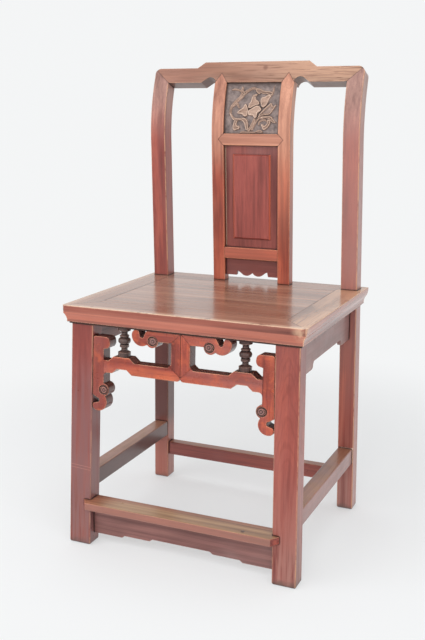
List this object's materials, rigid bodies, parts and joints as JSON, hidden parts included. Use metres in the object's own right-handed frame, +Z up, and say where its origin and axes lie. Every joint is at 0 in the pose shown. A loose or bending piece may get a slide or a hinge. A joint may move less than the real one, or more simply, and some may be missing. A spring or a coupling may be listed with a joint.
{
  "type": "side chair",
  "caption": "Side chair with a carved and panelled splat between curved back posts, a framed flat seat, a pierced front apron with turned struts, and stretchers all round.",
  "frame": {"origin": "on the floor under the middle of the chair's overall box", "axes": "+Z up, +X to the right as seen from the front, -Y the way the sitter faces"},
  "size_m": [0.498, 0.4432, 0.9541],
  "materials": {
    "frame_wood": "red-brown lacquer, worn to bare orange wood along the edges",
    "crest_wood": "natural brown wood with a dark streaked grain, lacquer worn thin",
    "seat_wood": "worn glossy brown lacquer, paler at the front and the edges",
    "panel_wood": "dark red-brown lacquer",
    "carving_wood": "dark grey-brown ground with rubbed tan ridges",
    "turning_wood": "dark brown lacquer with a dull gloss",
    "tread_wood": "lacquer worn through to tan wood by feet",
    "hidden_wood": "bare planed wood"
  },
  "bodies": {
    "root": {"front_leg_left": "frame_wood", "front_leg_right": "frame_wood", "rear_post_left": "frame_wood", "rear_post_right": "frame_wood", "splat_stile_left": "frame_wood", "splat_stile_right": "frame_wood", "side_apron_left": "frame_wood", "side_apron_right": "frame_wood", "fret_center_post_left": "frame_wood", "fret_center_post_right": "frame_wood", "fret_upper_arm_left": "frame_wood", "fret_upper_arm_right": "frame_wood", "fret_lower_arm_left": "frame_wood", "fret_lower_arm_right": "frame_wood", "fret_leg_bracket_left": "frame_wood", "fret_leg_bracket_right": "frame_wood", "baluster_left": "turning_wood", "baluster_right": "turning_wood", "side_stretcher_left": "frame_wood", "side_stretcher_right": "frame_wood", "seat_rail_left": "seat_wood", "seat_rail_right": "seat_wood", "crest_rail": "crest_wood", "splat_mid_rail": "frame_wood", "splat_lower_rail": "frame_wood", "carved_panel": "carving_wood", "raised_panel": "panel_wood", "splat_apron": "panel_wood", "seat_rail_front": "seat_wood", "seat_rail_back": "seat_wood", "seat_panel": "seat_wood", "seat_brace": "hidden_wood", "rear_apron": "frame_wood", "foot_rail": "tread_wood", "foot_rail_apron": "frame_wood", "rear_stretcher": "frame_wood"}
  },
  "joints": []
}
